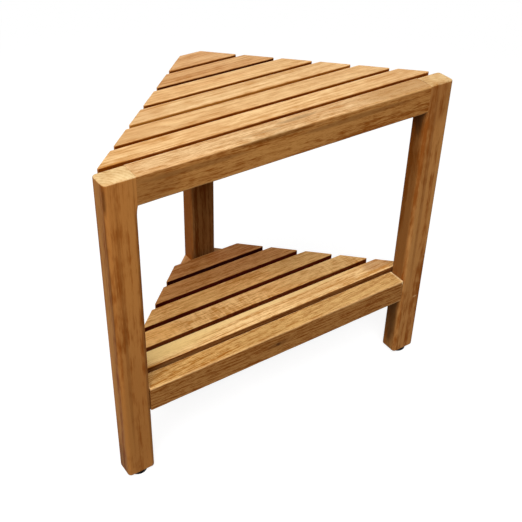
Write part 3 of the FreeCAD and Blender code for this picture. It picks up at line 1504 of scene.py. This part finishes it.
@dataclass
class Foot:
    """Levelling foot: rubber pad with a threaded stud."""

    body: str
    name: str
    pad_finish: bpy.types.Material
    stud_finish: bpy.types.Material
    hollow: float = 5.4
    hollow_depth: float = 0.5
    rib: Span = (5.8, 7.0)
    groove: Span = (7.3, 8.2)
    groove_depth: float = 0.4
    land: float = 8.5
    rim: float = 1.2
    shoulder: float = 0.9
    rim_steps: int = 5
    collar_height: float = 1.5
    collar_inset: float = 3.0
    collar_foot: float = 0.5
    collar_edge: float = 0.4
    socket_depth: float = 4.0
    socket_gap: float = 0.1
    socket_edge: float = 0.3
    pad_sides: int = 64
    stud: float = 4.0
    stud_sides: int = 40
    pitch: float = 1.25
    pitch_slices: int = 8
    thread_depth: float = 0.65
    point: float = 1.2
    point_share: float = 0.75

    def build(self) -> None:
        """Builds and dresses the pad and the stud."""
        pad = Extent.of(f"{self.body}_pad")
        centre = Vector((pad.middle.x, pad.middle.y, pad.low.z))
        draft = Draft()
        draft.lathe(self._pad_profile(pad.half.x, pad.height), centre, self.pad_sides)
        piece = draft.to_object(f"foot_pad_{self.name}")
        place_piece(piece, self.pad_finish, Slot.PAD, self.body, f"{self.body}_pad")
        stud = self._stud(Extent.of(f"{self.body}_stud")).to_object(f"foot_stud_{self.name}")
        place_piece(stud, self.stud_finish, Slot.STUD, self.body, f"{self.body}_stud")

    def _pad_profile(self, wide: float, high: float) -> Profile:
        """Section of the pad: ribbed underside, eased rim, collar and socket.

        Args:
            wide: radius of the pad.
            high: height of the pad.

        Returns:
            Points of radius and height from the middle of the underside to the socket's floor.
        """
        base, collar = high - self.collar_height, wide - self.collar_inset
        socket, floor = self.stud + self.socket_gap, high - self.socket_depth
        points = [(0.0, self.hollow_depth), (self.hollow, self.hollow_depth)]
        points += [(radius, 0.0) for radius in self.rib]
        points += [(radius, self.groove_depth) for radius in self.groove]
        points.append((self.land, 0.0))
        for inset, rise in reversed(quarter(self.rim, self.rim_steps)):
            points.append((wide - inset, rise))
        for inset, drop in quarter(self.shoulder, self.rim_steps):
            points.append((wide - inset, base - drop))
        points += [(collar + self.collar_foot, base), (collar, base + self.collar_foot)]
        points += [(collar, high - self.collar_edge), (collar - self.collar_edge, high)]
        points += [(socket + self.socket_edge, high), (socket, high - self.socket_edge)]
        points += [(socket, floor), (0.0, floor)]
        return points

    def _stud(self, size: Extent) -> Draft:
        """Stud with a rolled thread that winds up its length.

        Args:
            size: box of the stud.

        Returns:
            The stud's skin.
        """
        length = size.height
        count = round(length / self.pitch * self.pitch_slices)
        rings = []
        for i in range(count + 1):
            rise = length * i / count
            axis = Vector((size.middle.x, size.middle.y, size.low.z + rise))
            taper = min(1.0, (length - rise) / self.point + self.point_share)
            ring = []
            for k in range(self.stud_sides):
                turn = k / self.stud_sides
                wave = abs(2 * ((rise / self.pitch - turn) % 1.0) - 1)
                radius = (self.stud - self.thread_depth * wave) * taper
                angle = FULL_TURN * turn
                ring.append(axis + Vector((radius * math.cos(angle), radius * math.sin(angle), 0.0)))
            rings.append(ring)
        return Draft.skin(rings)


@dataclass
class Inserts:
    """Three brass inserts in the undersides of the legs."""

    feet: Sequence[str]
    finish: bpy.types.Material
    outer: float = 6.0
    top_edge: float = 0.4
    barbs: int = 6
    barb_depth: float = 0.5
    bore: float = 4.08
    mouth_edge: float = 0.4
    bore_edge: float = 0.3
    sides: int = 40

    def build(self) -> None:
        """Builds and dresses the inserts as one piece."""
        size = Extent.of("foot_inserts")
        wall = self._wall(size.height)
        draft = Draft()
        for foot in self.feet:
            pad = Extent.of(f"{foot}_pad").middle
            draft.lathe(wall, Vector((pad.x, pad.y, size.low.z)), self.sides, tube=True)
        piece = draft.to_object("foot_inserts_brass")
        place_piece(piece, self.finish, Slot.INSERT, STOOL, "foot_inserts")

    def _wall(self, high: float) -> Profile:
        """Section of the wall, with grooves that bite into the wood.

        Args:
            high: height of the insert.

        Returns:
            Points of radius and height round the wall.
        """
        profile = [(self.bore + self.mouth_edge, 0.0), (self.outer, 0.0)]
        for k in range(1, self.barbs):
            z = high * k / self.barbs
            profile.append((self.outer, z - self.barb_depth))
            profile.append((self.outer - self.barb_depth, z))
            profile.append((self.outer, z + self.barb_depth))
        profile += [(self.outer - self.top_edge, high), (self.bore + self.bore_edge, high)]
        return profile + [(self.bore, high - self.bore_edge), (self.bore, self.mouth_edge)]


@dataclass(frozen=True)
class Studio:
    """Camera, soft light and pale floor, in metres and degrees."""

    eye: Point = (-0.574994, -0.880031, 0.95895)
    eye_turn: Point = (53.80149, -1.30898, -33.97643)
    lens: float = 62.807
    sensor: float = 36.0
    far_end: float = 60.0
    lamp_distance: float = 3.6
    lamp_width: float = 3.4
    lamp_power: float = 156.0
    lamp_tilt: float = 39.0
    lamp_turn: float = 40.0
    lamp_aim: float = 0.3
    fill_strength: float = 1.3
    fill_spread: float = 50.0
    fill_tilt: float = 80.0
    fill_turn: float = 222.0
    sky: float = 0.15
    floor_size: float = 14.0
    floor_bounce: float = 0.22
    floor_shadow: float = 0.3
    floor_light: float = 0.55
    floor_near: float = 0.55
    floor_far: float = 1.5

    def build(self) -> None:
        """Sets up everything round the stool."""
        self._camera()
        self._lamp()
        self._fill()
        self._world()
        self._floor()
        bpy.context.scene.view_settings.view_transform = "Standard"

    def _camera(self) -> None:
        """Camera at the photograph's place."""
        camera = bpy.data.objects.new("camera", bpy.data.cameras.new("camera"))
        camera.data.sensor_width = self.sensor
        camera.data.lens = self.lens
        camera.data.clip_end = self.far_end
        turn = Euler([math.radians(angle) for angle in self.eye_turn])
        camera.matrix_world = Matrix.LocRotScale(Vector(self.eye), turn, None)
        bpy.context.scene.collection.objects.link(camera)
        bpy.context.scene.camera = camera

    @staticmethod
    def _way(tilt: float, turn: float) -> Vector:
        """Direction towards a light.

        Args:
            tilt: angle from straight above, in degrees.
            turn: angle from the front towards the left, in degrees.

        Returns:
            The direction, of length 1.
        """
        lean, way = math.radians(tilt), math.radians(turn)
        flat = math.sin(lean)
        return Vector((-flat * math.sin(way), -flat * math.cos(way), math.cos(lean)))

    @staticmethod
    def _hang(data: bpy.types.Light, toward: Vector, place: Vector) -> None:
        """Puts a light at a place, so that it shines back along a direction.

        Args:
            data: the light.
            toward: the direction towards it.
            place: where it hangs.
        """
        light = bpy.data.objects.new(data.name, data)
        light.rotation_mode = "QUATERNION"
        light.rotation_quaternion = toward.to_track_quat("Z", "Y")
        light.location = place
        bpy.context.scene.collection.objects.link(light)

    def _lamp(self) -> None:
        """Wide round lamp above the stool's front left."""
        data = bpy.data.lights.new("soft_lamp", "AREA")
        data.shape = "DISK"
        data.size = self.lamp_width
        data.energy = self.lamp_power
        toward = self._way(self.lamp_tilt, self.lamp_turn)
        self._hang(data, toward, toward * self.lamp_distance + Vector((0.0, 0.0, self.lamp_aim)))

    def _fill(self) -> None:
        """Low weak light from behind on the right, for the sides that the lamp leaves dark."""
        data = bpy.data.lights.new("fill_light", "SUN")
        data.energy = self.fill_strength
        data.angle = math.radians(self.fill_spread)
        toward = self._way(self.fill_tilt, self.fill_turn)
        self._hang(data, toward, toward * self.lamp_distance)

    @staticmethod
    def _seen(bench: Bench) -> Wire:
        """Tells rays that show a thing from rays that light one.

        Args:
            bench: where the nodes go.

        Returns:
            1 for rays from the camera, from metal and through glass, and 0 for the rest.
        """
        path = bench.make("ShaderNodeLightPath").outputs
        rays = [Wire(bench, path[f"Is {kind} Ray"]) for kind in ("Camera", "Glossy", "Transmission")]
        return rays[0].larger(rays[1]).larger(rays[2])

    def _world(self) -> None:
        """White round the object, and a dim even sky that lights it."""
        world = bpy.data.worlds.new("white_room")
        world.use_nodes = True
        bpy.context.scene.world = world
        bench = Bench(world.node_tree)
        light = bench.add("ShaderNodeBackground", None, {"Color": WHITE, "Strength": self.sky})
        shown = bench.add("ShaderNodeBackground", None, {"Color": WHITE, "Strength": 1.0})
        both = bench.add("ShaderNodeMixShader", None, {0: self._seen(bench), 1: light, 2: shown})
        bench.make("ShaderNodeOutputWorld", None, {"Surface": both})

    def _floor(self) -> None:
        """Pale floor that keeps a faint soft shadow of the stool and is clear from below."""
        half = self.floor_size / 2 / MM
        draft = Draft()
        corners = ((-half, -half), (half, -half), (half, half), (-half, half))
        draft.points = [Vector((x, y, 0.0)) for x, y in corners]
        draft.faces = [[0, 1, 2, 3]]
        floor = draft.to_object("floor")
        bench, material = Bench.for_material("pale_floor")
        bounce, shade = ((grey, grey, grey, 1.0) for grey in (self.floor_bounce, self.floor_shadow))
        plain = bench.add("ShaderNodeBsdfDiffuse", None, {"Color": bounce})
        lit = bench.add("ShaderNodeBsdfDiffuse", None, {"Color": shade})
        strength = 1 - self.floor_shadow * self.floor_light
        glow = bench.add("ShaderNodeEmission", None, {"Color": WHITE, "Strength": strength})
        near = bench.add("ShaderNodeAddShader", None, {0: lit, 1: glow})
        far = bench.add("ShaderNodeEmission", None, {"Color": WHITE, "Strength": 1.0})
        place = bench.add("ShaderNodeTexCoord", None, None, "Object")
        away = bench.vector("LENGTH", place, output=1).ramp(self.floor_near, self.floor_far)
        white = bench.add("ShaderNodeMixShader", None, {0: away, 1: near, 2: far})
        above = bench.add("ShaderNodeMixShader", None, {0: self._seen(bench), 1: plain, 2: white})
        below = bench.add("ShaderNodeNewGeometry", None, None, "Backfacing")
        clear = bench.add("ShaderNodeBsdfTransparent")
        bench.surface(bench.add("ShaderNodeMixShader", None, {0: below, 1: above, 2: clear}))
        floor.data.materials.append(material)


# Faces that the patches lie on, from the middle of a leg, a rail or a board.
LEG_HALF = Extent.of("front_left_leg").half
FRONT, LEFT = -LEG_HALF.y, LEG_HALF.x
RAIL_TOP = Extent.of("seat_front_rail").half.z
BOARD_TOP = Extent.of("seat_slat_1").half.z

# How ragged a soft change of tone is, and how far it reaches into and over a front or a top.
SOFT = 0.3
FRONT_REACH = (5.0, 26.0)
TOP_REACH = (30.0, 2.5)


def front_tone(place: float, reach: float, colour: str, strength: float) -> Patch:
    """Soft change of tone along the front of a leg or a rail."""
    return Patch((place, FRONT, 0.0), (reach, *FRONT_REACH), colour, strength, SOFT)


def top_tone(place: float, reach: float, colour: str, strength: float) -> Patch:
    """Soft change of tone along the top of a board."""
    return Patch((place, 0.0, BOARD_TOP), (reach, *TOP_REACH), colour, strength, SOFT)


LEG_FINISHES = {
    "front_left_leg": Teak(
        11, "e0ba7e", "a7692f", pith=(-30.0, 34.0), spacing=5.0, rings=0.22, flat_rings=0.4, fibre=0.16,
        streak=0.5, lines=0.1, drift=0.7, taper=0.01, pores=0.15, wear=0.0, side_contrast=2.1,
        patches=(
            Patch((0.0, 3.0, LEFT), (330.0, 11.0, 5.0), "d89750", 0.42, SOFT, 0.3),
            Patch((206.0, -12.0, LEFT), (26.0, 3.2, 6.0), "4a260e", 0.6),
            Patch((90.0, -10.0, LEFT), (150.0, 2.4, 6.0), "5f3415", 0.45),
            Patch((90.0, FRONT, 7.0), (170.0, 5.0, 3.4), "7c481c", 0.32),
            Patch((-60.0, FRONT, 8.0), (150.0, 5.0, 3.0), "7c481c", 0.3),
            Patch((0.0, FRONT, -15.5), (300.0, 4.0, 2.0), "6d421c", 0.4),
            front_tone(150.0, 130.0, "c9843c", 0.16),
            front_tone(-125.0, 130.0, "6f4218", 0.15),
            Patch((-215.0, 3.0, LEFT), (50.0, 14.0, 5.0), "5a3216", 0.4, SOFT),
        ),
    ),
    "front_right_leg": Teak(
        12, "e0b87a", "ac7137", pith=(42.0, -38.0), spacing=5.0, rings=0.2, flat_rings=0.5, fibre=0.2,
        streak=0.45, lines=0.1, drift=0.65, taper=0.012, pores=0.25, wear=0.03, side_contrast=2.15,
        patches=(
            Patch((-125.6, FRONT, -8.5), (2.6, 3.0, 6.5), "e2b680", 0.6, 0.25, 0.2),
            Patch((60.0, FRONT, 6.0), (200.0, 5.0, 4.0), "7a471d", 0.35),
            # Painted shade on the inner face: darker all over, darkest under the seat and below the shelf.
            Patch((0.0, 2.0, LEFT), (320.0, 16.0, 4.0), "6a3b10", 0.6, SOFT),
            Patch((185.0, 2.0, LEFT), (44.0, 16.0, 4.0), "301604", 0.65, SOFT),
            Patch((-160.0, 2.0, LEFT), (72.0, 16.0, 4.0), "361c04", 0.55, SOFT),
            front_tone(208.0, 52.0, "7a4216", 0.3),
        ),
    ),
    # The back leg's colours are darker than the front legs': painted shade under the seat.
    "back_leg": Teak(
        13, "b98a52", "774b22", pith=(-60.0, 44.0), rings=0.25, fibre=0.35, streak=0.45, lines=0.4,
        drift=0.5, patches=(Patch((0.0, 0.0, LEFT), (330.0, 18.0, 4.0), "b66824", 0.68, SOFT),),
    ),
}

SEAT_RAIL = Teak(
    21, "dfb278", "a97035", pith=(-80.0, -120.0), spacing=3.8, rings=0.2, fibre=0.5, streak=0.4, lines=0.3,
    drift=0.6, taper=0.03, pores=0.7, wear=0.2, side_contrast=1.95,
    patches=(
        Patch((12.0, 4.0, RAIL_TOP), (30.0, 4.5, 6.0), "855c2c", 0.5, 0.6),
        Patch((55.0, 6.0, RAIL_TOP), (60.0, 5.0, 6.0), "94703f", 0.14, 0.6),
        Patch((-40.0, -4.0, RAIL_TOP), (45.0, 3.5, 6.0), "957043", 0.32, 0.6),
        Patch((-30.0, FRONT, 15.0), (75.0, 6.0, 5.0), "5d3a17", 0.42, 0.5),
        Patch((90.0, FRONT, 8.0), (120.0, 5.0, 4.0), "6a3f1c", 0.45, 0.5),
        Patch((-130.0, FRONT, 8.0), (80.0, 5.0, 5.0), "6a3f1c", 0.4, 0.5),
        Patch((188.0, 0.0, RAIL_TOP), (105.0, 26.0, 8.0), "bd8a4e", 0.7, SOFT),
        front_tone(-195.0, 48.0, "6b3f1a", 0.3),
        Patch((-20.0, FRONT, -2.0), (48.0, 5.0, 22.0), "c9914e", 0.24, SOFT),
    ),
)
SHELF_RAIL = Teak(
    22, "ce9c57", "9f6932", pith=(26.0, -62.0), spacing=4.4, rings=0.5, fibre=1.0, streak=0.45, lines=0.75,
    drift=0.5, taper=0.05, pores=1.0, wear=0.7, side_contrast=2.1,
    patches=(
        # Painted highlight on the eased right end, where it catches the light.
        Patch((211.0, 0.0, RAIL_TOP), (4.6, 60.0, 9.0), "ffe2ae", 0.75, 0.08, 0.55),
        Patch((-13.7, FRONT, 1.9), (6.0, 3.0, 3.4), "3a200f", 0.85),
        Patch((-13.7, FRONT, 1.9), (26.0, 4.0, 5.5), "6a401c", 0.5),
        Patch((-35.0, 0.0, RAIL_TOP), (65.0, 26.0, 8.0), "a87c46", 0.22, SOFT),
        Patch((130.0, 0.0, RAIL_TOP), (130.0, 26.0, 8.0), "dcb478", 0.25, SOFT),
    ),
)

SEAT_BOARDS = (
    Teak(
        31, "eabb7c", "b5743a", pith=(90.0, -70.0), drift=0.6, pores=0.2, gap=0.95, gap_from=1.0,
        gap_tone="7c3a00",
        patches=(top_tone(-95.0, 38.0, "c48748", 0.25), top_tone(190.0, 48.0, "c48748", 0.3)),
    ),
    Teak(
        32, "e0b072", "b87838", pith=(-70.0, -95.0), streak=0.35, pores=0.2, gap=1.0, gap_from=0.8,
        gap_tone="7c3800", patches=(top_tone(-180.0, 60.0, "b87838", 0.3),),
    ),
    Teak(
        33, "e7ba7d", "c48742", pith=(60.0, -120.0), pores=0.2, gap=0.85, gap_from=0.9,
        gap_tone="965410", patches=(top_tone(-145.0, 55.0, "b87838", 0.3),),
    ),
    Teak(
        34, "e3b273", "b87838", pith=(-110.0, -80.0), fibre=0.26, pores=0.2, gap=1.0, gap_from=0.9,
        gap_tone="703200",
    ),
    Teak(
        35, "d4a064", "a8682f", pith=(80.0, -60.0), streak=0.4, pores=0.3, gap=1.0, gap_from=0.7,
        gap_tone="4c1a00",
    ),
    Teak(
        36, "daa66b", "b4753a", pith=(-70.0, -100.0), fibre=0.26, pores=0.3, gap=1.0, gap_from=0.9,
        gap_tone="6c3000", gap_behind=False,
    ),
)
# The shelf boards darken towards the back: partly their own tone, partly painted shade under the seat.
SHELF_BOARDS = (
    Teak(
        41, "f1c27e", "c98a48", pith=(50.0, -110.0), rings=0.4, streak=0.5, fibre=0.7, lines=0.5, gap=0.75,
        gap_tone="5e2802",
        patches=(
            Patch((-75.0, 17.0, BOARD_TOP), (310.0, 13.0, 22.0), "ffd894", 0.9, 0.2, 0.8),
            Patch((-180.0, 4.0, BOARD_TOP), (140.0, 22.0, 22.0), "ffd88c", 0.8, SOFT, 0.2),
            Patch((90.0, 4.0, BOARD_TOP), (85.0, 24.0, 2.5), "b88040", 0.2, SOFT),
            # Painted shade at the right end, next to the right leg.
            Patch((206.0, 4.0, BOARD_TOP), (34.0, 18.0, 22.0), "9c5c30", 0.5, SOFT),
        ),
    ),
    Teak(
        42, "e3ae69", "b97b3e", pith=(-60.0, -100.0), ripple=0.8, fibre=0.72, gap=0.95, gap_from=0.4,
        gap_tone="561c00",
        patches=(top_tone(-170.0, 70.0, "ffb860", 0.35), top_tone(130.0, 100.0, "c0a066", 0.25)),
    ),
    Teak(
        43, "dca55f", "b27338", pith=(75.0, -85.0), fibre=0.75, gap=1.0, gap_from=0.4, gap_tone="521600",
        patches=(top_tone(120.0, 85.0, "a88450", 0.26), top_tone(-65.0, 50.0, "f0bc74", 0.28)),
    ),
    Teak(
        44, "bb8045", "a86832", pith=(-85.0, -90.0), streak=0.4, fibre=0.75, gap=1.0, gap_from=0.4,
        gap_tone="4a0e00",
    ),
    Teak(
        45, "b87b42", "a0602c", pith=(70.0, -75.0), streak=0.45, fibre=0.75, gap=1.0, gap_from=0.4,
        gap_tone="320500", gap_behind=False,
    ),
)
SIDE_RAILS = {
    Level.SEAT: (Teak(51, "d2a065", "b4743a"), Teak(52, "d09c62", "b07036")),
    # The shelf rails' tops are darker than the seat rails', the right one most: painted shade under the
    # seat.
    Level.SHELF: (Teak(53, "d29456", "b4743a"), Teak(54, "ae7a42", "ac6c34")),
}
FEET = {"front_left_foot": "front_left", "front_right_foot": "front_right", "back_foot": "back"}


def dress_dowels() -> None:
    """Gives the hidden dowels, which stay as they are, their own finish."""
    material = Peg().make("beech_dowels")
    for node in ("seat_rail_dowels", "shelf_rail_dowels"):
        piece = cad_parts[node]
        piece.data.materials.clear()
        piece.data.materials.append(material)
        log.info("%s: kept with a beech finish", node)


def main() -> None:
    """Builds the stool from the floor up, then the studio round it."""
    logging.basicConfig(level=logging.INFO, format="%(message)s")
    line = SideLine.from_boards("seat_slat_1", "seat_slat_5")
    steel = Metal("b9bbbd", "8d8f92", 0.3).make("stainless_steel")
    brass = Metal("c9a24f", "8f7136", 0.35).make("brass")
    rubber = Rubber().make("black_rubber")
    Legs(LEG_FINISHES).build()
    FrontRail(
        "seat_front_rail", "rail_seat_front", (0.3, 0.3), SEAT_RAIL, seed=3, hidden_end=20.0
    ).build()
    FrontRail(
        "shelf_front_rail", "rail_shelf_front", (0.6, 1.6), SHELF_RAIL, seed=4, rear_edge=2.5
    ).build()
    for level, boards in ((Level.SEAT, SEAT_BOARDS), (Level.SHELF, SHELF_BOARDS)):
        deck = Deck(level, line, boards)
        deck.build()
        rails = SideRails(level, line, deck.nodes, SIDE_RAILS[level])
        rails.build()
        Screws(level, rails.screw_places(), steel).build()
    for body, name in FEET.items():
        Foot(body, name, rubber, steel).build()
    Inserts(tuple(FEET), brass).build()
    dress_dowels()
    Studio().build()


if __name__ == "__main__":
    main()
